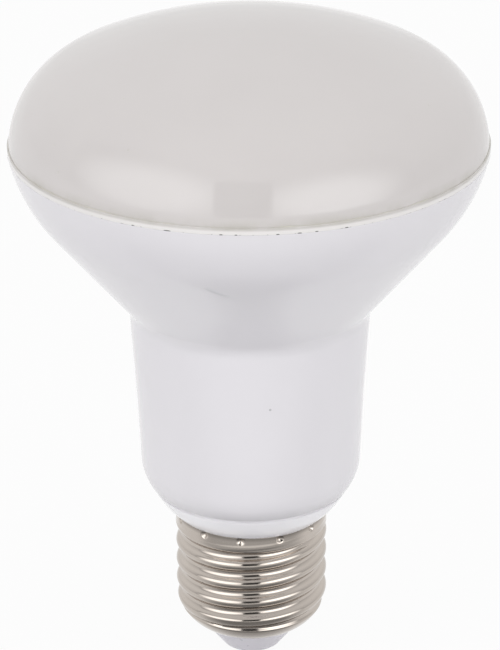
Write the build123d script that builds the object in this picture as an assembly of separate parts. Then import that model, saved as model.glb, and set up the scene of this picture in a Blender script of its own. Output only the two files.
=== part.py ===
"""Reflector bulb: opal diffuser, white housing and an Edison screw cap.

Millimetres. Z runs along the lamp's axis, from the end face of the centre contact at zero up to
the top of the diffuser. The side that the photo shows faces -Y.
"""
import os
from math import acos, asin, atan2, ceil, cos, radians, sin, sqrt, tan

from build123d import *

# Heights of the stretches along the axis, from the contact's end face upwards
contact_out = 0.5
insulator_out = 4.7
shell_height = 22.0
collar_height = 4.75
groove_width = 0.7
neck_lower_height = 17.35
neck_upper_height = 15.4
bowl_height = 28.3
flange_height = 1.2

# Diffuser
rim_diameter = 80.0
flange_ledge = 0.2
dome_shoulder_radius = 15.9
dome_shoulder_drop = 0.95
dome_crown_rise = 5.15
seat_width = 2.4
skirt_depth = 2.5

# Housing
bowl_round_radius = 28.0
rim_lean_angle = 12.5
neck_top_diameter = 41.0
neck_upper_taper = 3.9
neck_lower_taper = 2.55
neck_blend_radius = 5.0
neck_waist_radius = 300.0
neck_round_height = 4.4
neck_foot_inset = 1.475
groove_depth = 0.85
collar_inset = 0.45
collar_overhang = 0.1
collar_bulge = 0.3
edge_break = 0.15

# Screw shell
thread_diameter = 26.2
thread_pitch = 3.629
thread_depth = 1.1
thread_crest_drop = 9.24
band_proud = 0.05
band_height = 2.7
ring_height = 0.3
runout_height = 1.2
sheet_thickness = 0.3
shell_round_radius = 7.85
shell_round_proud = 0.2
outer_flats = 4
inner_flats = 2
mouth_lip = 3.1

# Crimp marks in the shell's plain band
crimp_count = 12
crimp_start_angle = -98.0
crimp_diameter = 1.2
crimp_depth = 0.35
crimp_drop = 0.75

# Insulator and centre contact
insulator_end_diameter = 9.7
insulator_end_round = 1.0
insulator_seat_height = 3.8
contact_diameter = 6.4
contact_edge_round = 0.2
contact_stem_diameter = 2.4
contact_web = 1.4

# Clearances
press_clearance = 0.05
seat_clearance = 0.1

# Levels that the pieces share
insulator_end = contact_out
shell_end = insulator_end + insulator_out
shell_top = shell_end + shell_height
collar_top = shell_top + collar_height
neck_foot = collar_top + groove_width
neck_waist = neck_foot + neck_lower_height
neck_top = neck_waist + neck_upper_height
seam = neck_top + bowl_height
flange_top = seam + flange_height
insulator_top = shell_end + insulator_seat_height
stem_hole_top = insulator_top - contact_web

# Radii that the pieces share
rim_radius = rim_diameter / 2
skirt_radius = rim_radius - seat_width
thread_radius = thread_diameter / 2
band_radius = thread_radius + band_proud
root_radius = thread_radius - thread_depth
bore_radius = root_radius - sheet_thickness
mouth_radius = bore_radius - mouth_lip
stem_radius = contact_stem_diameter / 2


def turned(*curves):
    """Solid turned about Z from the curves of a closed outline, as (radius, height)."""
    return revolve(Plane.XZ * make_face(curves), Axis.Z)


def diffuser():
    """Opal dome: a flat crown with round shoulders, a thin flange and a skirt below it."""
    dome_radius = rim_radius - flange_ledge
    shoulder = Vector(dome_radius - dome_shoulder_radius, flange_top - dome_shoulder_drop)
    rise = dome_shoulder_radius + dome_crown_rise
    apex = shoulder.Y + rise
    spread = shoulder.X**2 + rise**2 - dome_shoulder_radius**2
    crown = Vector(0, apex - spread / (2 * dome_crown_rise))
    meeting = shoulder + (shoulder - crown).normalized() * dome_shoulder_radius
    foot_reach = sqrt(dome_shoulder_radius**2 - dome_shoulder_drop**2)
    foot = Vector(shoulder.X + foot_reach, flange_top)

    crown_arc = TangentArc((0, apex), meeting, tangent=(1, 0))
    shoulder_arc = TangentArc(meeting, foot, tangent=crown_arc % 1)
    base = Polyline(
        foot,
        (rim_radius - edge_break, flange_top),
        (rim_radius, flange_top - edge_break),
        (rim_radius, seam + edge_break),
        (rim_radius - edge_break, seam),
        (skirt_radius, seam),
        (skirt_radius, seam - skirt_depth),
        (0, seam - skirt_depth),
        (0, apex),
    )
    return turned(crown_arc, shoulder_arc, base)


def bowl_side(rim, junction):
    """Round side of the bowl, from its rim down to where the straight cone begins."""
    lean = radians(rim_lean_angle)
    outward = Vector(cos(lean), -sin(lean))
    across = rim - junction
    widest_round = across.length**2 / (2 * across.dot(outward))
    widest_share = 0.95
    radius = min(bowl_round_radius, widest_share * widest_round)

    centre = rim - outward * radius
    to_junction = junction - centre
    turn = atan2(to_junction.Y, to_junction.X) + acos(radius / to_junction.length)
    cone_start = centre + Vector(cos(turn), sin(turn)) * radius
    return TangentArc(rim, cone_start, tangent=(-sin(lean), -cos(lean)))


def housing():
    """White moulding: bowl, neck, grooved collar and the spigot inside the screw shell."""
    rim = Vector(rim_radius, seam - edge_break)
    junction = Vector(neck_top_diameter / 2, neck_top)
    upper_run = neck_upper_height
    lower_run = neck_lower_height - neck_round_height
    waist = junction - Vector(upper_run * tan(radians(neck_upper_taper)), upper_run)
    neck_low = waist - Vector(lower_run * tan(radians(neck_lower_taper)), lower_run)
    foot = neck_low - Vector(neck_foot_inset, neck_round_height)
    groove_floor = foot - Vector(groove_depth, groove_width / 2)
    collar_head = foot - Vector(collar_inset, groove_width)
    collar_low = Vector(band_radius + collar_overhang, shell_top)
    spigot_radius = bore_radius - press_clearance
    recess_radius = skirt_radius + seat_clearance
    recess_floor = seam - skirt_depth - seat_clearance

    bowl = bowl_side(rim, junction)
    blends = (neck_blend_radius, neck_waist_radius)
    neck = FilletPolyline(bowl @ 1, junction, waist, neck_low, radius=blends)
    neck_end = TangentArc(neck_low, foot, tangent=neck % 1)
    groove = Polyline(foot, groove_floor, collar_head)
    collar = SagittaArc(collar_head, collar_low, collar_bulge)
    inside = Polyline(
        collar_low,
        (spigot_radius, shell_top),
        (spigot_radius, insulator_top),
        (0, insulator_top),
        (0, recess_floor),
        (recess_radius, recess_floor),
        (recess_radius, seam),
        (rim_radius - edge_break, seam),
        rim,
    )
    return turned(bowl, neck, neck_end, groove, collar, inside)


def thread_profile(rise):
    """Height of the thread above its root, at a rise from its crest: two equal arcs."""
    arc = ((thread_pitch / 4) ** 2 + (thread_depth / 2) ** 2) / thread_depth
    if rise <= thread_pitch / 4:
        return thread_depth - arc + sqrt(arc**2 - rise**2)
    return arc - sqrt(arc**2 - (thread_pitch / 2 - rise) ** 2)


def thread_ridge(low, high):
    """Right-hand ridge of the thread between two levels, its round section drawn with flats."""
    flats_per_side = 4
    front_turn = -0.25
    rise_step = thread_pitch / 2 / flats_per_side
    root_gap = rise_step / 3
    side = [(thread_profile(rise_step * step), rise_step * step) for step in range(flats_per_side)]
    side.append((-sheet_thickness / 2, thread_pitch / 2 - root_gap))
    outline = side + [(out, -rise) for out, rise in reversed(side[1:])]

    crest = shell_top - thread_crest_drop - thread_pitch * front_turn
    turns_below = ceil((crest - low) / thread_pitch) + 1
    start = crest - thread_pitch * turns_below
    length = high - start + thread_pitch
    path = Pos(0, 0, start) * Helix(thread_pitch, length, root_radius)
    across = Plane(path @ 0, x_dir=(1, 0, 0), z_dir=path % 0)
    section = across * make_face(Polyline(*outline, close=True))
    ridge = sweep(section, path=path, is_frenet=True)
    span = Pos(0, 0, (low + high) / 2) * Cylinder(2 * thread_radius, high - low)
    return ridge & span


def shell_round(inset, mouth, side, flats):
    """Points along the shell's round lower end, moved in by the inset, between two radii."""
    centre = thread_radius + shell_round_proud - shell_round_radius
    level = shell_end + sqrt(shell_round_radius**2 - (mouth_radius - centre) ** 2)
    radius = shell_round_radius - inset
    first = asin((mouth - centre) / radius)
    turn = asin((side - centre) / radius) - first
    angles = [first + turn * step / flats for step in range(flats + 1)]
    return [Vector(centre + radius * sin(angle), level - radius * cos(angle)) for angle in angles]


def crimp_marks():
    """Ring of pointed six-sided punches that dent the shell's plain band."""
    punch_sides = 6
    mouth = Pos(0, 0, crimp_depth) * RegularPolygon(crimp_diameter, punch_sides)
    punch = Rot(0, 90, 0) * loft([Vertex(0, 0, -crimp_depth), mouth])
    place = Pos(band_radius, 0, shell_top - crimp_drop)
    angles = [crimp_start_angle + 360 * index / crimp_count for index in range(crimp_count)]
    return [Rot(0, 0, angle) * place * punch for angle in angles]


def screw_shell():
    """Formed cap shell: threaded, plain at the top, rounded in at its mouth and crimped."""
    band_low = shell_top - band_height
    outer_round = shell_round(0, mouth_radius, band_radius, outer_flats)
    inner_round = shell_round(sheet_thickness, mouth_radius, bore_radius, inner_flats)
    ring_low = outer_round[-1].Y
    ring_top = ring_low + ring_height
    body = turned(
        Polyline(
            *outer_round,
            (band_radius, ring_top),
            (root_radius, ring_top + runout_height),
            (root_radius, band_low - runout_height),
            (band_radius, band_low),
            (band_radius, shell_top),
            (bore_radius, shell_top),
            *reversed(inner_round),
            close=True,
        )
    )
    ridge = thread_ridge((ring_low + ring_top) / 2, shell_top - band_height / 2)
    return body + ridge - crimp_marks()


def insulator():
    """Plug in the shell's mouth, tapered to a round end, with a hole for the contact's stem."""
    hole_radius = stem_radius + press_clearance
    throat = mouth_radius - press_clearance
    seat_radius = bore_radius - press_clearance

    seat = shell_round(sheet_thickness + press_clearance, throat, seat_radius, inner_flats)
    taper = FilletPolyline(
        (hole_radius, insulator_end),
        (insulator_end_diameter / 2, insulator_end),
        (throat, shell_end),
        radius=insulator_end_round,
    )
    inside = Polyline(
        (throat, shell_end),
        *seat,
        (seat_radius, insulator_top),
        (0, insulator_top),
        (0, stem_hole_top),
        (hole_radius, stem_hole_top),
        (hole_radius, insulator_end),
    )
    return turned(taper, inside)


def centre_contact():
    """Contact stud: a round-edged head on the insulator's end and a stem inside it."""
    head_radius = contact_diameter / 2
    stem_top = stem_hole_top - seat_clearance
    head = FilletPolyline((0, 0), (head_radius, 0), (head_radius, contact_out), radius=contact_edge_round)
    stem = Polyline(
        (head_radius, contact_out),
        (stem_radius, contact_out),
        (stem_radius, stem_top),
        (0, stem_top),
        (0, 0),
    )
    return turned(head, stem)


parts = {
    "diffuser": diffuser(),
    "housing": housing(),
    "screw_shell": screw_shell(),
    "insulator": insulator(),
    "centre_contact": centre_contact(),
}

os.makedirs("parts", exist_ok=True)
for name, solid in parts.items():
    export_step(solid, f"parts/{name}.step")
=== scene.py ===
import random
from math import acos, asin, atan2, cos, degrees, exp, pi, radians, sin, sqrt, tan

import bmesh
import bpy
import numpy as np
from mathutils import Matrix, Vector


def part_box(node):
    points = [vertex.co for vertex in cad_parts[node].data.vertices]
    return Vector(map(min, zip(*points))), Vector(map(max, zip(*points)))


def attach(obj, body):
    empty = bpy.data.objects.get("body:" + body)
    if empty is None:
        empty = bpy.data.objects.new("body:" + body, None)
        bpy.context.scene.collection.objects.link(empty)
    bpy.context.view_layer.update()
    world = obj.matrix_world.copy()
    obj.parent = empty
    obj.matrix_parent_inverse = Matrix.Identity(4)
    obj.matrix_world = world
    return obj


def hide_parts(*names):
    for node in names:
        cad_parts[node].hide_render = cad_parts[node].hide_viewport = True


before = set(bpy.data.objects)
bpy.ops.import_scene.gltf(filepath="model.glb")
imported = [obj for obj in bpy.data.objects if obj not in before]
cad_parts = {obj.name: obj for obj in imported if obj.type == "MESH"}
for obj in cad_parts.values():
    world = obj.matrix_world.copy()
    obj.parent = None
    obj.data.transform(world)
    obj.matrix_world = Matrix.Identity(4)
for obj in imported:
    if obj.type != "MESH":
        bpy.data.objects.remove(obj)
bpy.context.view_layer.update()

# Sizes are in millimetres and meshes in metres. Outlines are (radius, height) about the lamp's axis.
MM = 0.001
BODY = "root"

# Fineness of the meshes: segments around, steps and rows along, and spacing on straight runs
SEGMENTS = 300
SHELL_SEGMENTS = 480
ARC_STEPS = 40
NECK_STEPS = 24
SHORT_ARC_STEPS = 16
CORNER_STEPS = 8
COLLAR_STEPS = 24
GROOVE_JOIN_STEPS = 2
THREAD_ROWS = 116
ROUND_END_ROWS = 48
BORE_ROWS = 12
BEAD_SIDES = 18
GLUE_STEPS = 720
BODY_SPACING = 1.0
INSULATOR_SPACING = 0.5
CONTACT_SPACING = 0.3
SHARP_ANGLE = 50.0


def node_box(node):
    """Lowest and highest corner of a solid, in millimetres."""
    low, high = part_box(node)
    return low / MM, high / MM


# Levels and radii that the solids give
diffuser_low, diffuser_high = node_box("diffuser")
shell_low, shell_high = node_box("screw_shell")
insulator_low, insulator_high = node_box("insulator")
contact_low, contact_high = node_box("centre_contact")
seam = node_box("housing")[1].z
rim_radius = diffuser_high.x
apex = diffuser_high.z
skirt_end = diffuser_low.z
shell_top = shell_high.z
shell_end = shell_low.z
band_radius = shell_high.x
insulator_end = insulator_low.z
insulator_top = insulator_high.z
insulator_radius = insulator_high.x
contact_end = contact_low.z
contact_radius = contact_high.x
stem_top = contact_high.z

# Diffuser
flange_height = 1.2
flange_ledge = 0.2
seam_round = 0.08
skirt_round = 0.3
dome_shoulder_radius = 15.9
dome_shoulder_drop = 0.95
seat_width = 2.4
seat_clearance = 0.1

# Housing
bowl_round_radius = 28.0
rim_lean_angle = 12.5
neck_top_radius = 20.5
neck_upper_height = 15.4
neck_upper_taper = 3.9
neck_lower_height = 17.35
neck_lower_taper = 2.55
neck_blend_radius = 5.0
neck_waist_radius = 300.0
neck_round_height = 4.4
neck_foot_inset = 1.475
groove_width = 0.7
groove_depth = 0.85
groove_round = 0.2
collar_height = 4.75
collar_inset = 0.45
collar_overhang = 0.1
collar_bulge = 0.3

# Screw shell
band_proud = 0.05
band_height = 2.7
thread_end_drop = 2.75
runout_height = 1.2
runout_blend = 0.2
end_blend = 4.0
thread_pitch = 3.629
thread_depth = 1.1
thread_crest_drop = 9.24
thread_front_turn = -0.25
shell_round_radius = 7.85
shell_round_proud = 0.2
mouth_lip = 3.1
sheet_thickness = 0.3
sheet_round = 0.1
crimp_count = 12
crimp_start_angle = -98.0
crimp_radius = 0.75
crimp_depth = 0.4
crimp_drop = 0.75
crimp_power = 1.5
press_clearance = 0.05

# Insulator and centre contact
insulator_end_radius = 4.85
insulator_end_round = 1.0
contact_height = 0.5
contact_round = 0.2
stem_radius = 1.2
small_round = 0.1

# Wear and dirt: places as azimuth in degrees, with the front at -90, and height or size
seam_specks = [
    (-108.6, 1.3),
    (-117.0, 0.5),
    (-96.3, 0.7),
    (-93.0, 0.5),
    (-83.7, 0.6),
    (-78.8, 0.8),
    (-74.9, 0.6),
    (-67.8, 0.7),
]
speck_rise = 0.07
speck_height = 0.03
speck_sink = 0.015
speck_width = 0.2
speck_seed = 7
fine_speck_count = 90
fine_speck_width = 0.1
fine_speck_sizes = (0.15, 0.6)
glue_spots = [
    (-129.0, 0.08),
    (-125.0, 0.10),
    (-122.0, 0.08),
    (-81.7, 0.12),
    (-57.8, 0.12),
    (-48.8, 0.10),
    (-46.3, 0.10),
]
glue_radius = 0.05
glue_least_radius = 0.005
glue_evenness = 0.6
glue_waves = (5, 11, 23, 41)
glue_seed = 3
glue_spot_reach = 1.5
scratch_route = [(-101.6, 82.33), (-97.2, 80.57), (-95.7, 80.72)]
scratch_hook_round = 4.0
scratch_step = 0.3
scratch_width = 1.0
scratch_height = 0.06
neck_dot = (-80.5, 54.3)
neck_dot_radius = 0.22
dome_specks = [
    (-145.1, 101.9),
    (-121.6, 104.4),
    (-140.5, 98.6),
    (-133.9, 109.3),
    (-30.8, 106.7),
    (-6.9, 110.0),
]
dome_speck_radius = 0.16
mark_height = 0.03

# Finishes, with pairs of colours between which a surface varies
plastic_ior = 1.58
plain_ior = 1.5
plain_roughness_spread = 0.12
noise_low = 0.3
noise_high = 0.7
opal_colours = ((0.568, 0.540, 0.533), (0.602, 0.574, 0.567))
flange_colour = (0.75, 0.73, 0.72)
# Painted dark reflection on the dome's foot above the flange
foot_reflection_colour = (0.40, 0.385, 0.33)
white_colours = ((0.702, 0.686, 0.717), (0.732, 0.716, 0.747))
# Painted light: whiter colour for the collar, where light falls on it
lit_collar_colour = (0.85, 0.84, 0.87)
# Painted shade in the groove and under the neck's foot
groove_shade_colour = (0.50, 0.49, 0.51)
nickel_colours = ((0.50, 0.45, 0.405), (0.55, 0.50, 0.455))
# Painted shade on the shell under the collar's edge
under_collar_shade_colour = (0.16, 0.14, 0.125)
pale_colours = ((0.67, 0.65, 0.705), (0.71, 0.69, 0.745))
dirt_colours = ((0.10, 0.10, 0.10), (0.22, 0.22, 0.21))
fine_dirt_colours = ((0.32, 0.31, 0.31), (0.50, 0.49, 0.48))
glue_colours = ((0.50, 0.49, 0.42), (0.60, 0.58, 0.52))
mark_colours = ((0.42, 0.42, 0.44), (0.50, 0.50, 0.52))
scuff_colours = ((0.57, 0.565, 0.59), (0.63, 0.625, 0.65))
faint_mark_colours = ((0.48, 0.46, 0.43), (0.54, 0.52, 0.49))
# Dark flag by the camera, and painted shadow on the floor near the lamp
flag_and_shadow_colours = ((0.03, 0.03, 0.03), (0.06, 0.06, 0.06))
floor_colours = ((0.59, 0.59, 0.59), (0.61, 0.61, 0.61))

# Bands of colour, as distances below or above the edge that they follow and shares of the colour
flange_white_drop = 0.7
flange_white_end_drop = 0.3
# Painted dark reflection on the dome's foot above the flange
foot_reflection_start_drop = 0.6
foot_reflection_full_drop = 0.2
foot_reflection_end_rise = 1.5
foot_reflection_share = 0.7
# Painted light on the collar
lit_collar_drop = 0.2
# Painted shade in the groove and up the underside of the neck's foot
groove_shade_rise = 2.2
groove_shade_share = 0.6
# Painted shade on the shell under the collar's edge
under_collar_shade_start = 0.9
under_collar_shade_full = 0.2
under_collar_shade_share = 0.6

# Camera
camera_back = 500.5
camera_height = 280.7
camera_aim_height = 61.1
camera_roll = -0.34
camera_focal_pixels = 3220.0
image_height_pixels = 650
sensor_size = 36.0

# Floor in metres and the room's brightness, with the backdrop's reach from -1 in front to 1 behind
floor_size = 6.0
floor_drop = 0.00002
floor_whiteness = 0.94
room_brightness = 0.51
backdrop_brightness = 0.93
backdrop_start = -0.5
backdrop_full = 0.7
ceiling_brightness = 0.76

# Soft boxes and a flag near the camera: places as azimuth, elevation and metres, glows as edge and core
left_box_place = (-138.0, 17.0, 1.5)
left_box_size = (3.0, 2.0)
left_box_glow = (0.6, 2.3)
right_box_place = (-51.0, 11.0, 1.5)
right_box_size = (2.6, 1.8)
right_box_glow = (0.65, 2.6)
box_blend = 0.75
camera_flag_place = (-93.0, 14.0, 1.25)
camera_flag_size = (0.58, 1.1)

# Dark sheets just above the floor, in metres: painted shadow of the lamp on the floor, seen only in
# reflections
wide_shadow_place = (0.0, -0.048, 0.00005)
wide_shadow_size = (0.28, 0.1)
wide_shadow_cover = 0.42
near_shadow_place = (0.0, -0.028, 0.0001)
near_shadow_size = (0.075, 0.054)
near_shadow_cover = 0.64
shadow_sheet_blend = 0.6

# Radii and levels worked out from these
flange_top = seam + flange_height
collar_top = shell_top + collar_height
neck_foot = collar_top + groove_width
neck_top = neck_foot + neck_lower_height + neck_upper_height
thread_radius = band_radius - band_proud
root_radius = thread_radius - thread_depth
bore_radius = insulator_radius + press_clearance
mouth_radius = bore_radius - mouth_lip
round_centre = thread_radius + shell_round_proud - shell_round_radius
round_level = shell_end + sqrt(shell_round_radius**2 - (mouth_radius - round_centre) ** 2)
round_top = round_level - sqrt(shell_round_radius**2 - (band_radius - round_centre) ** 2)
thread_end = round_top - thread_end_drop


# Outlines


def arc(centre, radius, first, last, steps):
    """Points along an arc of an outline, between two angles from the outward direction."""
    angles = [first + (last - first) * step / steps for step in range(steps + 1)]
    return [Vector((centre[0] + radius * cos(angle), centre[1] + radius * sin(angle))) for angle in angles]


def rounded(corners, radii, steps=CORNER_STEPS):
    """Outline through corners, with each corner between the two ends rounded by its radius."""
    corners = [Vector(corner) for corner in corners]
    points = [corners[0]]
    for before, corner, after, radius in zip(corners, corners[1:], corners[2:], radii):
        inward = (corner - before).normalized()
        onward = (after - corner).normalized()
        turn = atan2(inward.cross(onward), inward.dot(onward))
        start = corner - inward * radius * tan(abs(turn) / 2)
        side = Vector((-inward.y, inward.x)) * (1 if turn > 0 else -1)
        centre = start + side * radius
        first = atan2(-side.y, -side.x)
        points += arc(centre, radius, first, first + turn, steps)
    points.append(corners[-1])
    return points


def evenly(points, spacing):
    """The same outline with points added on its long straight runs."""
    out = [points[0]]
    for before, after in zip(points, points[1:]):
        pieces = max(1, round((after - before).length / spacing))
        out += [before.lerp(after, piece / pieces) for piece in range(1, pieces + 1)]
    return out


# Meshes


def piece_of(mesh, material):
    """Smooth piece of a mesh, riding on the lamp."""
    mesh.shade_smooth()
    mesh.set_sharp_from_angle(angle=radians(SHARP_ANGLE))
    mesh.materials.append(material)
    piece = bpy.data.objects.new(mesh.name, mesh)
    bpy.context.scene.collection.objects.link(piece)
    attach(piece, BODY)
    return piece


def mesh_piece(name, vertices, faces, material):
    """Piece from vertices in millimetres."""
    mesh = bpy.data.meshes.new(name)
    mesh.from_pydata((np.asarray(vertices) * MM).tolist(), [], faces)
    return piece_of(mesh, material)


def grid_faces(rows, columns, closed_rows=False):
    """Quads of a grid of vertices whose columns run once around."""
    faces = []
    for row in range(rows if closed_rows else rows - 1):
        here = row * columns
        there = (row + 1) % rows * columns
        for column in range(columns):
            after = (column + 1) % columns
            faces.append((here + column, here + after, there + after, there + column))
    return faces


def lathe(name, outline, material):
    """Closed mesh turned about the axis from an outline that starts and ends on it."""
    angles = 2 * pi * np.arange(SEGMENTS) / SEGMENTS
    rings = outline[1:-1]
    rows = [
        np.column_stack((ring.x * np.cos(angles), ring.x * np.sin(angles), np.full(SEGMENTS, ring.y)))
        for ring in rings
    ]
    faces = grid_faces(len(rings), SEGMENTS)
    last_row = (len(rings) - 1) * SEGMENTS
    first_pole = len(rings) * SEGMENTS
    for step in range(SEGMENTS):
        after = (step + 1) % SEGMENTS
        faces.append((first_pole, after, step))
        faces.append((first_pole + 1, last_row + step, last_row + after))
    poles = [(0, 0, outline[0].y), (0, 0, outline[-1].y)]
    return mesh_piece(name, np.vstack((*rows, poles)), faces, material)


# Forms of the lamp


def diffuser_outline():
    """Dome from its top out to the flange, then the skirt that drops into the housing."""
    skirt_radius = rim_radius - seat_width
    shoulder = Vector((rim_radius - flange_ledge - dome_shoulder_radius, flange_top - dome_shoulder_drop))
    rise = apex - shoulder.y
    spread = shoulder.x**2 + rise**2 - dome_shoulder_radius**2
    crown_radius = spread / (2 * (rise - dome_shoulder_radius))
    crown = Vector((0, apex - crown_radius))
    meeting = atan2(shoulder.y - crown.y, shoulder.x - crown.x)
    foot = asin(dome_shoulder_drop / dome_shoulder_radius)

    dome = arc(crown, crown_radius, pi / 2, meeting, ARC_STEPS)
    dome += arc(shoulder, dome_shoulder_radius, meeting, foot, ARC_STEPS)[1:]
    base = rounded(
        [
            dome[-1],
            (rim_radius, flange_top),
            (rim_radius, seam),
            (skirt_radius, seam),
            (skirt_radius, skirt_end),
            (0, skirt_end),
        ],
        [flange_ledge, seam_round, small_round, skirt_round],
    )
    return dome + evenly(base, BODY_SPACING)[1:]


def neck_end(start, leaving, foot):
    """Round lower end of the neck, leaving it along its side."""
    chord = foot - start
    bend = atan2(leaving.cross(chord), leaving.dot(chord))
    radius = chord.length / (2 * sin(abs(bend)))
    centre = start + Vector((leaving.y, -leaving.x)) * radius
    first = atan2(start.y - centre.y, start.x - centre.x)
    return arc(centre, radius, first, first + 2 * bend, SHORT_ARC_STEPS)


def housing_outline():
    """Recess for the skirt, then rim, bowl, neck, groove, collar and the spigot in the cap."""
    recess_radius = rim_radius - seat_width + seat_clearance
    recess_floor = skirt_end - seat_clearance
    lean = radians(rim_lean_angle)

    rim = Vector((rim_radius, seam - seam_round))
    junction = Vector((neck_top_radius, neck_top))
    lower_run = neck_lower_height - neck_round_height
    waist = junction - Vector((neck_upper_height * tan(radians(neck_upper_taper)), neck_upper_height))
    neck_low = waist - Vector((lower_run * tan(radians(neck_lower_taper)), lower_run))
    foot = neck_low - Vector((neck_foot_inset, neck_round_height))
    groove_floor = foot - Vector((groove_depth, groove_width / 2))
    collar_head = foot - Vector((collar_inset, groove_width))
    collar_low = Vector((band_radius + collar_overhang, shell_top))

    bowl_centre = rim - Vector((cos(lean), -sin(lean))) * bowl_round_radius
    to_junction = junction - bowl_centre
    bowl_end = atan2(to_junction.y, to_junction.x) + acos(bowl_round_radius / to_junction.length)
    bowl = arc(bowl_centre, bowl_round_radius, -lean, bowl_end, ARC_STEPS)
    neck_corners = [bowl[-1], junction, waist, neck_low]
    neck = rounded(neck_corners, [neck_blend_radius, neck_waist_radius], NECK_STEPS)
    end = neck_end(neck_low, (neck[-1] - neck[-2]).normalized(), foot)

    collar_chord = collar_low - collar_head
    collar_outward = Vector((-collar_chord.y, collar_chord.x)).normalized()
    collar = []
    for step in range(COLLAR_STEPS + 1):
        share = step / COLLAR_STEPS
        bulge = collar_bulge * 4 * share * (1 - share)
        collar.append(collar_head.lerp(collar_low, share) + collar_outward * bulge)
    join = GROOVE_JOIN_STEPS
    groove = rounded([end[-join], foot, groove_floor, collar_head, collar[join]], [groove_round] * 3)
    top = rounded(
        [(0, recess_floor), (recess_radius, recess_floor), (recess_radius, seam), (rim_radius, seam), rim],
        [skirt_round, small_round, seam_round],
    )
    spigot = [
        Vector((insulator_radius, shell_top)),
        Vector((insulator_radius, insulator_top)),
        Vector((0, insulator_top)),
    ]
    side = bowl + neck[1:] + end[1:-join] + groove + collar[join + 1 :]
    return evenly(top[:-1] + side + spigot, BODY_SPACING)


def insulator_outline():
    """Stem hole, flat end, taper and the seat inside the shell."""
    hole_radius = stem_radius + press_clearance
    hole_top = stem_top + seat_clearance
    throat = mouth_radius - press_clearance
    inset = sheet_thickness + press_clearance
    seat_round = shell_round_radius - inset
    seat_centre = (round_centre, round_level)
    seat_first = -acos((throat - round_centre) / seat_round)
    seat_last = -acos((insulator_radius - round_centre) / seat_round)
    end = rounded(
        [
            (0, hole_top),
            (hole_radius, hole_top),
            (hole_radius, insulator_end),
            (insulator_end_radius, insulator_end),
            (throat, shell_end),
        ],
        [small_round, small_round, insulator_end_round],
    )
    seat = arc(seat_centre, seat_round, seat_first, seat_last, SHORT_ARC_STEPS)
    top = [Vector((insulator_radius, insulator_top)), Vector((0, insulator_top))]
    return evenly(end + seat + top, INSULATOR_SPACING)


def contact_outline():
    """Round-edged head of the contact and its stem."""
    corners = [
        (0, contact_end),
        (contact_radius, contact_end),
        (contact_radius, contact_height),
        (stem_radius, contact_height),
        (stem_radius, stem_top),
        (0, stem_top),
    ]
    radii = [contact_round, small_round, small_round, small_round]
    return evenly(rounded(corners, radii), CONTACT_SPACING)


def smooth_low(first, second, width):
    """Lower of two surfaces, with the edge between them rounded over a width."""
    share = np.clip(0.5 + 0.5 * (second - first) / width, 0, 1)
    return second * (1 - share) + first * share - width * share * (1 - share)


def smooth_high(first, second, width):
    """Higher of two surfaces, with the edge between them rounded over a width."""
    return -smooth_low(-first, -second, width)


def thread_surface(angles, height):
    """Radius of the shell's outside at a height: two equal arcs a pitch, running out at both ends."""
    front_crest = shell_top - thread_crest_drop
    crest = front_crest + thread_pitch * (angles / (2 * pi) - thread_front_turn)
    rise = np.abs((height - crest + thread_pitch / 2) % thread_pitch - thread_pitch / 2)
    fall = thread_pitch / 2 - rise
    round_radius = ((thread_pitch / 4) ** 2 + (thread_depth / 2) ** 2) / thread_depth
    near_crest = thread_radius - round_radius + np.sqrt(round_radius**2 - np.minimum(rise, fall) ** 2)
    near_root = root_radius + round_radius - np.sqrt(round_radius**2 - np.minimum(rise, fall) ** 2)
    surface = np.where(rise < fall, near_crest, near_root)

    band_low = shell_top - band_height
    for reach in (height - band_low, thread_end - height):
        share = min(max(1 + reach / runout_height, 0), 1)
        plain = root_radius - runout_blend + (thread_depth + runout_blend) * share * share * (3 - 2 * share)
        surface = smooth_high(surface, plain, runout_blend)
    return surface


def crimp_dents(angles, height):
    """Depth of the punch marks around the plain band at a height."""
    depth = np.zeros(len(angles))
    for index in range(crimp_count):
        centre = radians(crimp_start_angle + 360 * index / crimp_count)
        across = (angles - centre + pi) % (2 * pi) - pi
        reach = np.hypot(across * band_radius, height - shell_top + crimp_drop) / crimp_radius
        depth = np.maximum(depth, crimp_depth * np.clip(1 - reach**2, 0, 1) ** crimp_power)
    return depth


def shell_skin(material):
    """Threaded shell as one closed skin: down its outside, round its mouth and up its bore."""
    segments = SHELL_SEGMENTS
    angles = 2 * pi * np.arange(segments) / segments
    mouth_turn = asin((mouth_radius - round_centre) / shell_round_radius)

    rows = [(np.full(segments, band_radius - sheet_round), shell_top)]
    for height in np.linspace(shell_top - sheet_round, round_level, THREAD_ROWS):
        rows.append((thread_surface(angles, height) - crimp_dents(angles, height), height))
    for turn in np.linspace(pi / 2, mouth_turn, ROUND_END_ROWS)[1:]:
        height = round_level - shell_round_radius * cos(turn)
        limit = round_centre + shell_round_radius * sin(turn)
        width = runout_blend + end_blend * (1 - sin(turn))
        rows.append((smooth_low(thread_surface(angles, height), limit, width), height))
    lip = np.full(segments, mouth_radius)
    rows.append((lip - sheet_round / 2, shell_end + sheet_thickness / 2))
    rows.append((lip, shell_end + sheet_thickness))
    inner_radius = shell_round_radius - sheet_thickness
    lip_turn = asin((mouth_radius - round_centre) / inner_radius)
    bore_turn = asin((bore_radius - round_centre) / inner_radius)
    for turn in np.linspace(lip_turn, bore_turn, BORE_ROWS)[1:]:
        bore = np.full(segments, round_centre + inner_radius * sin(turn))
        rows.append((bore, round_level - inner_radius * cos(turn)))
    rows.append((np.full(segments, bore_radius), shell_top))

    skin = [
        np.column_stack((radius * np.cos(angles), radius * np.sin(angles), np.full(segments, height)))
        for radius, height in rows
    ]
    return mesh_piece("threaded_shell", np.vstack(skin), grid_faces(len(skin), segments, True), material)


# Small things on the lamp's surface


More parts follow.
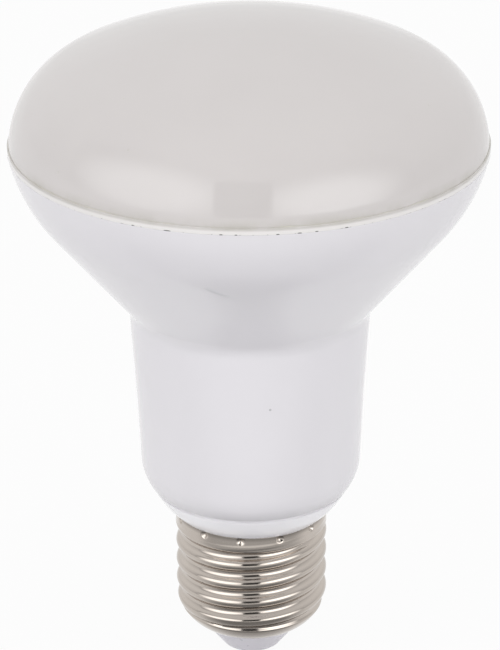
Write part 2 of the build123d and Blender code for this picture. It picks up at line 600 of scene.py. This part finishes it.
def surface_frame(outline, azimuth, height):
    """Place on a turned surface, as a matrix: its X runs around, its Y up the side and its Z out."""
    reach = 0
    for low, high in zip(outline, outline[1:]):
        if min(low.y, high.y) <= height <= max(low.y, high.y) and low.y != high.y:
            radius = low.x + (high.x - low.x) * (height - low.y) / (high.y - low.y)
            if radius > reach:
                reach = radius
                rise = (high - low) * (1 if high.y > low.y else -1)
    angle = radians(azimuth)
    out = Vector((cos(angle), sin(angle), 0))
    around = Vector((-sin(angle), cos(angle), 0))
    upward = (out * rise.x + Vector((0, 0, rise.y))).normalized()
    place = Matrix((around, upward, around.cross(upward))).transposed().to_4x4()
    place.translation = out * reach + Vector((0, 0, height))
    return place


def lumps(name, places, material):
    """Piece made of small round lumps, each a place with half sizes along its three axes."""
    ball = bmesh.new()
    for place, half in places:
        shape = Matrix.Scale(MM, 4) @ place @ Matrix.Diagonal((*half, 1))
        bmesh.ops.create_icosphere(ball, subdivisions=2, radius=1, matrix=shape)
    mesh = bpy.data.meshes.new(name)
    ball.to_mesh(mesh)
    ball.free()
    return piece_of(mesh, material)


def tube(name, centres, radii, material, closed):
    """Bead along a route of centres on the lamp's side, with a radius at each."""
    sides = BEAD_SIDES
    vertices = []
    for index, (centre, radius) in enumerate(zip(centres, radii)):
        before = centres[index - 1] if closed or index else centre
        after = centres[(index + 1) % len(centres)] if closed or index + 1 < len(centres) else centre
        out = Vector((centre.x, centre.y, 0)).normalized()
        across = (after - before).cross(out).normalized()
        out = across.cross(after - before).normalized()
        for side in range(sides):
            turn = 2 * pi * side / sides
            vertices.append(centre + (out * cos(turn) + across * sin(turn)) * radius)
    faces = grid_faces(len(centres), sides, closed)
    if not closed:
        faces += [tuple(range(sides)), tuple(range(len(vertices) - sides, len(vertices)))]
    return mesh_piece(name, vertices, faces, material)


# Materials


def new_finish(name, **sockets):
    """Material with one Principled shader, and the sockets that are the same all over."""
    material = bpy.data.materials.new(name)
    material.use_nodes = True
    shader = material.node_tree.nodes["Principled BSDF"]
    for socket, value in sockets.items():
        shader.inputs[socket].default_value = value
    return material, shader


def noise(material, scale, detail=3.0):
    """Noise over the piece's own coordinates, at a scale per metre."""
    nodes, links = material.node_tree.nodes, material.node_tree.links
    place = nodes.new("ShaderNodeTexCoord")
    texture = nodes.new("ShaderNodeTexNoise")
    texture.inputs["Scale"].default_value = scale
    texture.inputs["Detail"].default_value = detail
    links.new(place.outputs["Object"], texture.inputs["Vector"])
    return texture.outputs["Fac"]


def between(material, value, low, high):
    """Noise turned into numbers between two values."""
    nodes, links = material.node_tree.nodes, material.node_tree.links
    mapping = nodes.new("ShaderNodeMapRange")
    mapping.inputs["From Min"].default_value = noise_low
    mapping.inputs["From Max"].default_value = noise_high
    mapping.inputs["To Min"].default_value = low
    mapping.inputs["To Max"].default_value = high
    links.new(value, mapping.inputs["Value"])
    return mapping.outputs["Result"]


def mixed(material, share, first, second):
    """Mix of two colours, each a value or another node's output, by a share."""
    nodes, links = material.node_tree.nodes, material.node_tree.links
    mix = nodes.new("ShaderNodeMix")
    mix.data_type = "RGBA"
    links.new(share, mix.inputs["Factor"])
    for socket, colour in (("A_Color", first), ("B_Color", second)):
        entry = next(item for item in mix.inputs if item.identifier == socket)
        if isinstance(colour, tuple):
            entry.default_value = (*colour, 1)
        else:
            links.new(colour, entry)
    return next(item for item in mix.outputs if item.identifier == "Result_Color")


def by_height(material, stops):
    """Value that runs between stops up the piece, each a height and its value."""
    nodes, links = material.node_tree.nodes, material.node_tree.links
    place = nodes.new("ShaderNodeTexCoord")
    split = nodes.new("ShaderNodeSeparateXYZ")
    links.new(place.outputs["Object"], split.inputs["Vector"])
    mapping = nodes.new("ShaderNodeMapRange")
    low, high = stops[0][0], stops[-1][0]
    mapping.inputs["From Min"].default_value = low * MM
    mapping.inputs["From Max"].default_value = high * MM
    links.new(split.outputs["Z"], mapping.inputs["Value"])
    ramp = nodes.new("ShaderNodeValToRGB")
    elements = ramp.color_ramp.elements
    while len(elements) < len(stops):
        elements.new(1)
    for element, (height, value) in zip(elements, stops):
        element.position = (height - low) / (high - low)
        element.color = (value, value, value, 1)
    links.new(mapping.outputs["Result"], ramp.inputs["Fac"])
    return ramp.outputs["Color"]


def product(material, first, second):
    """Product of two nodes' outputs."""
    nodes, links = material.node_tree.nodes, material.node_tree.links
    multiply = nodes.new("ShaderNodeMath")
    multiply.operation = "MULTIPLY"
    links.new(first, multiply.inputs[0])
    links.new(second, multiply.inputs[1])
    return multiply.outputs["Value"]


def relief(material, shader, height, strength, depth):
    """Fine relief of the surface, at a depth in millimetres."""
    nodes, links = material.node_tree.nodes, material.node_tree.links
    bump = nodes.new("ShaderNodeBump")
    bump.inputs["Strength"].default_value = strength
    bump.inputs["Distance"].default_value = depth * MM
    links.new(height, bump.inputs["Height"])
    links.new(bump.outputs["Normal"], shader.inputs["Normal"])


def opal_finish():
    """Gloss opal plastic: warm grey white, faintly cloudy, with a painted dark reflection in patches up the
    dome's foot, above a whiter flange.
    """
    material, shader = new_finish("opal_plastic", IOR=plastic_ior)
    links = material.node_tree.links
    cloudy = mixed(material, noise(material, scale=60, detail=4), *opal_colours)
    flange_stops = [
        (flange_top - flange_white_drop, 1.0),
        (flange_top - flange_white_end_drop, 0.0),
    ]
    bare_tone = mixed(material, by_height(material, flange_stops), cloudy, flange_colour)
    # Painted dark reflection, in patches, up the dome's foot just above the flange
    foot_reflection_stops = [
        (flange_top - foot_reflection_start_drop, 0.0),
        (flange_top - foot_reflection_full_drop, foot_reflection_share),
        (flange_top + foot_reflection_end_rise, 0.0),
    ]
    strip = by_height(material, foot_reflection_stops)
    patches = between(material, noise(material, scale=220, detail=5), low=0.0, high=0.9)
    foot_reflected = mixed(material, product(material, strip, patches), bare_tone, foot_reflection_colour)
    roughness = between(material, noise(material, scale=180), low=0.06, high=0.1)
    links.new(foot_reflected, shader.inputs["Base Color"])
    links.new(roughness, shader.inputs["Roughness"])
    relief(material, shader, noise(material, scale=900, detail=2), strength=0.05, depth=0.02)
    return material


def white_finish():
    """Gloss white moulding, faintly cool, with painted light on its collar and painted shade in its groove
    and under the neck's foot.
    """
    material, shader = new_finish("white_plastic", IOR=plastic_ior)
    links = material.node_tree.links
    bare_tone = mixed(material, noise(material, scale=45, detail=4), *white_colours)
    # Painted light: the collar is made whiter
    lit_collar_stops = [(collar_top - lit_collar_drop, 1.0), (collar_top, 0.0)]
    whiter = mixed(material, by_height(material, lit_collar_stops), bare_tone, lit_collar_colour)
    # Painted shade in the groove and up the underside of the neck's foot, in patches
    groove_shade_stops = [(collar_top, 0.0), (neck_foot, groove_shade_share), (neck_foot + groove_shade_rise, 0.0)]
    groove = by_height(material, groove_shade_stops)
    patches = between(material, noise(material, scale=260, detail=4), low=0.7, high=1.0)
    groove_shaded = mixed(material, product(material, groove, patches), whiter, groove_shade_colour)
    roughness = between(material, noise(material, scale=140), low=0.06, high=0.1)
    links.new(groove_shaded, shader.inputs["Base Color"])
    links.new(roughness, shader.inputs["Roughness"])
    relief(material, shader, noise(material, scale=700, detail=2), strength=0.05, depth=0.02)
    return material


def nickel_finish():
    """Bright nickel plate, warm, with faint dull patches and painted shade along its top edge under the
    collar.
    """
    material, shader = new_finish("nickel_plate", Metallic=1.0)
    links = material.node_tree.links
    plate = mixed(material, noise(material, scale=250, detail=4), *nickel_colours)
    # Painted shade: the shell darkens towards the collar's edge
    under_collar_shade_stops = [
        (shell_top - under_collar_shade_start, 0.0),
        (shell_top - under_collar_shade_full, under_collar_shade_share),
    ]
    under_collar_shaded = mixed(material, by_height(material, under_collar_shade_stops), plate, under_collar_shade_colour)
    roughness = between(material, noise(material, scale=400, detail=4), low=0.08, high=0.16)
    links.new(under_collar_shaded, shader.inputs["Base Color"])
    links.new(roughness, shader.inputs["Roughness"])
    relief(material, shader, noise(material, scale=1500, detail=3), strength=0.08, depth=0.02)
    return material


def plain_finish(name, dark, light, grain, roughness):
    """Plain surface that varies between two colours over a grain per metre."""
    material, shader = new_finish(name, IOR=plain_ior)
    links = material.node_tree.links
    colour = mixed(material, noise(material, grain, detail=4), dark, light)
    links.new(colour, shader.inputs["Base Color"])
    dullest = roughness + plain_roughness_spread
    uneven = between(material, noise(material, grain * 2), roughness, dullest)
    links.new(uneven, shader.inputs["Roughness"])
    return material


# The lamp, its dirt and its marks


def dress():
    """Fine meshes in place of the solids."""
    nickel = nickel_finish()
    pale = plain_finish("pale_plastic", *pale_colours, grain=120, roughness=0.25)
    pieces = {
        "diffuser": lathe("opal_dome", diffuser_outline(), opal_finish()),
        "housing": lathe("white_body", housing_outline(), white_finish()),
        "screw_shell": shell_skin(nickel),
        "insulator": lathe("cap_insulator", insulator_outline(), pale),
        "centre_contact": lathe("contact_stud", contact_outline(), nickel),
    }
    for node, piece in pieces.items():
        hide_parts(node)


def seam_dirt():
    """Dark specks caught in the seam: those on the front as seen, finer ones all around."""
    chance = random.Random(speck_seed)
    flange = diffuser_outline()
    sunk = Matrix.Translation((0, 0, -speck_sink))
    coarse, fine = [], []
    for azimuth, length in seam_specks:
        place = surface_frame(flange, azimuth, seam + speck_rise) @ sunk
        coarse.append((place, (length / 2, speck_width / 2, speck_height)))
    for _ in range(fine_speck_count):
        place = surface_frame(flange, chance.uniform(-180, 180), seam + speck_rise) @ sunk
        length = chance.uniform(*fine_speck_sizes)
        fine.append((place, (length / 2, fine_speck_width / 2, speck_height)))
    dark = plain_finish("seam_dirt", *dirt_colours, grain=900, roughness=0.6)
    grey = plain_finish("fine_dirt", *fine_dirt_colours, grain=900, roughness=0.6)
    lumps("seam_dirt", coarse, dark)
    lumps("fine_dirt", fine, grey)


def glue_line():
    """Thin uneven bead of glue around the dome's foot, thicker in a few spots."""
    chance = random.Random(glue_seed)
    waves = [(count, chance.uniform(0, 2 * pi)) for count in glue_waves]
    reach = rim_radius - flange_ledge
    centres, radii = [], []
    for step in range(GLUE_STEPS):
        turn = 2 * pi * step / GLUE_STEPS - pi
        wave = sum(sin(count * turn + phase) for count, phase in waves) / len(waves)
        swell = sum(
            size * exp(-(((degrees(turn) - azimuth) / glue_spot_reach) ** 2))
            for azimuth, size in glue_spots
        )
        radii.append(max(glue_radius * (glue_evenness + wave) + swell / 2, glue_least_radius))
        centres.append(Vector((reach * cos(turn), reach * sin(turn), flange_top)))
    glue = plain_finish("glue", *glue_colours, grain=600, roughness=0.3)
    tube("glue_line", centres, radii, glue, closed=True)


def marks():
    """Scratch on the bowl, dot on the neck and faint specks on the dome."""
    grey = plain_finish("mark", *mark_colours, grain=900, roughness=0.35)
    body, dome = housing_outline(), diffuser_outline()
    # Only the top of the scratch's bead stands out of the bowl
    radius = (scratch_width**2 / 4 + scratch_height**2) / (2 * scratch_height)
    sunk = Vector((0, 0, scratch_height - radius))
    path = evenly(rounded(scratch_route, [scratch_hook_round]), scratch_step)
    route = [surface_frame(body, azimuth, height) @ sunk for azimuth, height in path]
    scuffed = plain_finish("scuff", *scuff_colours, grain=900, roughness=0.35)
    tube("scratch", route, [radius] * len(route), scuffed, closed=False)
    dot = (surface_frame(body, *neck_dot), (neck_dot_radius, neck_dot_radius, mark_height))
    lumps("neck_dot", [dot], grey)
    half = (dome_speck_radius, dome_speck_radius, mark_height)
    specks = [(surface_frame(dome, azimuth, height), half) for azimuth, height in dome_specks]
    faint = plain_finish("faint_mark", *faint_mark_colours, grain=900, roughness=0.35)
    lumps("dome_specks", specks, faint)


# Studio and camera


def facing_lamp(azimuth, elevation, distance):
    """Place in the studio, in degrees and metres, whose -Z axis looks at the middle of the lamp."""
    turn, tilt = radians(azimuth), radians(elevation)
    away = Vector((cos(turn) * cos(tilt), sin(turn) * cos(tilt), sin(tilt)))
    middle = Vector((0, 0, apex / 2)) * MM
    return Matrix.Translation(middle + away * distance) @ away.to_track_quat("Z", "Y").to_matrix().to_4x4()


def stage_card(name, width, height, place, material):
    """Flat piece of the studio, which isn't part of the lamp."""
    half = Vector((width / 2, height / 2, 0))
    corners = [(half.x * x, half.y * y, 0) for x, y in ((-1, -1), (1, -1), (1, 1), (-1, 1))]
    mesh = bpy.data.meshes.new(name)
    mesh.from_pydata(corners, [], [(0, 1, 2, 3)])
    mesh.materials.append(material)
    card = bpy.data.objects.new(name, mesh)
    bpy.context.scene.collection.objects.link(card)
    card.matrix_world = place
    return card


def fall_off(material, size, blend, edge, core):
    """Value over a card that blends from its round edge to its core, over a share of its reach."""
    nodes, links = material.node_tree.nodes, material.node_tree.links
    place = nodes.new("ShaderNodeTexCoord")
    fit = nodes.new("ShaderNodeMapping")
    fit.inputs["Scale"].default_value = (2 / size[0], 2 / size[1], 1)
    links.new(place.outputs["Object"], fit.inputs["Vector"])
    ball = nodes.new("ShaderNodeTexGradient")
    ball.gradient_type = "SPHERICAL"
    links.new(fit.outputs["Vector"], ball.inputs["Vector"])
    level = nodes.new("ShaderNodeMapRange")
    level.interpolation_type = "SMOOTHSTEP"
    level.inputs["From Max"].default_value = blend
    level.inputs["To Min"].default_value = edge
    level.inputs["To Max"].default_value = core
    links.new(ball.outputs["Fac"], level.inputs["Value"])
    return level.outputs["Result"]


def glow_finish(name, size, edge, core):
    """Cloth of a soft box: brightest in its middle and fading towards its edge."""
    material = bpy.data.materials.new(name)
    material.use_nodes = True
    nodes, links = material.node_tree.nodes, material.node_tree.links
    glow = nodes.new("ShaderNodeEmission")
    links.new(fall_off(material, size, box_blend, edge, core), glow.inputs["Strength"])
    links.new(glow.outputs["Emission"], nodes["Material Output"].inputs["Surface"])
    return material


def painted_shadow_finish(name, size, cover):
    """Painted shadow: dark sheet that covers what lies under its middle by a share and fades out to its
    edge.
    """
    material = plain_finish(name, *flag_and_shadow_colours, grain=5, roughness=0.8)
    shader = material.node_tree.nodes["Principled BSDF"]
    opacity = fall_off(material, size, shadow_sheet_blend, edge=0.0, core=cover)
    material.node_tree.links.new(opacity, shader.inputs["Alpha"])
    return material


def room():
    """Dim room with a bright backdrop behind the lamp and a pale ceiling."""
    world = bpy.data.worlds.new("room")
    bpy.context.scene.world = world
    world.use_nodes = True
    nodes, links = world.node_tree.nodes, world.node_tree.links
    place = nodes.new("ShaderNodeTexCoord")
    split = nodes.new("ShaderNodeSeparateXYZ")
    links.new(place.outputs["Generated"], split.inputs["Vector"])
    backdrop = nodes.new("ShaderNodeMapRange")
    backdrop.inputs["From Min"].default_value = backdrop_start
    backdrop.inputs["From Max"].default_value = backdrop_full
    backdrop.inputs["To Min"].default_value = room_brightness
    backdrop.inputs["To Max"].default_value = backdrop_brightness
    links.new(split.outputs["Y"], backdrop.inputs["Value"])
    ceiling = nodes.new("ShaderNodeMapRange")
    ceiling.inputs["To Max"].default_value = ceiling_brightness - room_brightness
    links.new(split.outputs["Z"], ceiling.inputs["Value"])
    both = nodes.new("ShaderNodeMath")
    links.new(backdrop.outputs["Result"], both.inputs[0])
    links.new(ceiling.outputs["Result"], both.inputs[1])
    links.new(both.outputs["Value"], nodes["Background"].inputs["Strength"])
    nodes["Background"].inputs["Color"].default_value = (1, 1, 1, 1)


def floor_finish():
    """Pale floor that reads as white to the eye and to reflections, and keeps part of its shadow."""
    material = plain_finish("floor", *floor_colours, grain=5, roughness=0.6)
    nodes, links = material.node_tree.nodes, material.node_tree.links
    path = nodes.new("ShaderNodeLightPath")
    seen = path.outputs["Is Camera Ray"]
    for ray in ("Is Glossy Ray", "Is Transmission Ray"):
        either = nodes.new("ShaderNodeMath")
        either.operation = "ADD"
        either.use_clamp = True
        links.new(seen, either.inputs[0])
        links.new(path.outputs[ray], either.inputs[1])
        seen = either.outputs["Value"]
    share = nodes.new("ShaderNodeMath")
    share.operation = "MULTIPLY"
    share.inputs[1].default_value = floor_whiteness
    links.new(seen, share.inputs[0])
    glow = nodes.new("ShaderNodeEmission")
    mix = nodes.new("ShaderNodeMixShader")
    links.new(share.outputs["Value"], mix.inputs["Fac"])
    links.new(nodes["Principled BSDF"].outputs["BSDF"], mix.inputs[1])
    links.new(glow.outputs["Emission"], mix.inputs[2])
    links.new(mix.outputs["Shader"], nodes["Material Output"].inputs["Surface"])
    return material


def studio():
    """Pale floor, room, a soft box on each side, a dark flag by the camera and dark sheets of painted floor
    shadow, which only reflections show.
    """
    room()
    stage_card("floor", floor_size, floor_size, Matrix.Translation((0, 0, -floor_drop)), floor_finish())
    left = glow_finish("left_cloth", left_box_size, *left_box_glow)
    stage_card("left_box", *left_box_size, facing_lamp(*left_box_place), left)
    right = glow_finish("right_cloth", right_box_size, *right_box_glow)
    stage_card("right_box", *right_box_size, facing_lamp(*right_box_place), right)

    black = plain_finish("black_flag", *flag_and_shadow_colours, grain=5, roughness=0.8)
    # Painted shadow of the lamp on the floor near its foot, for reflections only
    wide = painted_shadow_finish("wide_painted_shadow", wide_shadow_size, wide_shadow_cover)
    near = painted_shadow_finish("near_painted_shadow", near_shadow_size, near_shadow_cover)
    flags = [
        stage_card("camera_flag", *camera_flag_size, facing_lamp(*camera_flag_place), black),
        stage_card("wide_shadow_sheet", *wide_shadow_size, Matrix.Translation(wide_shadow_place), wide),
        stage_card("near_shadow_sheet", *near_shadow_size, Matrix.Translation(near_shadow_place), near),
    ]
    for flag in flags:
        flag.visible_camera = False
        flag.visible_diffuse = False
        flag.visible_shadow = False


def camera():
    """Camera at the photo's place: raised, on the lamp's front, with a long lens."""
    lens = bpy.data.cameras.new("camera")
    lens.sensor_width = sensor_size
    lens.lens = camera_focal_pixels / image_height_pixels * sensor_size
    view = bpy.data.objects.new("camera", lens)
    bpy.context.scene.collection.objects.link(view)
    place = Vector((0, -camera_back, camera_height)) * MM
    aim = Vector((0, 0, camera_aim_height)) * MM
    facing = (aim - place).to_track_quat("-Z", "Y").to_matrix().to_4x4()
    view.matrix_world = Matrix.Translation(place) @ facing @ Matrix.Rotation(radians(camera_roll), 4, "Z")
    bpy.context.scene.camera = view


dress()
seam_dirt()
glue_line()
marks()
studio()
camera()
bpy.context.scene.view_settings.view_transform = "Standard"
